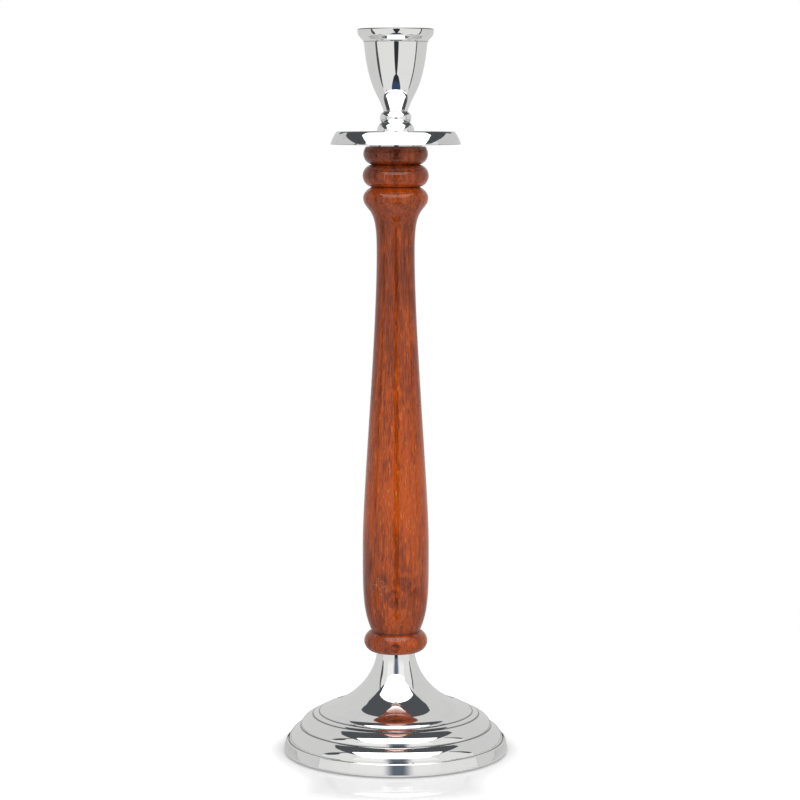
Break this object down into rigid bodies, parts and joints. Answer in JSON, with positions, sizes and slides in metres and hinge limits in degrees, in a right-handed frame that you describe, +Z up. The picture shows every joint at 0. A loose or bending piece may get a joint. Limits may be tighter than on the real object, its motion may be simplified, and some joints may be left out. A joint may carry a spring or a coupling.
{
  "type": "candlestick",
  "caption": "Tall table candlestick: stepped polished metal bell foot, turned red-brown wood column with beads, round drip pan and tulip-shaped cup that holds a taper candle.",
  "frame": {"origin": "centre of the felt face that the candlestick stands on", "axes": "+Z up along the column's axis; the part is round, so X and Y are free"},
  "size_m": [0.127, 0.127, 0.4064],
  "materials": {
    "polished_metal": "cast aluminium, mirror polished",
    "stained_wood": "turned hardwood, red-brown stain, satin-gloss lacquer",
    "zinc_plated_steel": "zinc-plated steel",
    "grey_board": "pressed fibre board",
    "green_felt": "pressed wool felt"
  },
  "bodies": {
    "root": {"felt_pad": "green_felt", "backing_board": "grey_board", "foot_casting": "polished_metal", "wood_column": "stained_wood", "drip_pan": "polished_metal", "candle_cup": "polished_metal", "tie_rod": "zinc_plated_steel", "flat_washer": "zinc_plated_steel", "lock_washer": "zinc_plated_steel", "rod_nut": "zinc_plated_steel"}
  },
  "joints": []
}
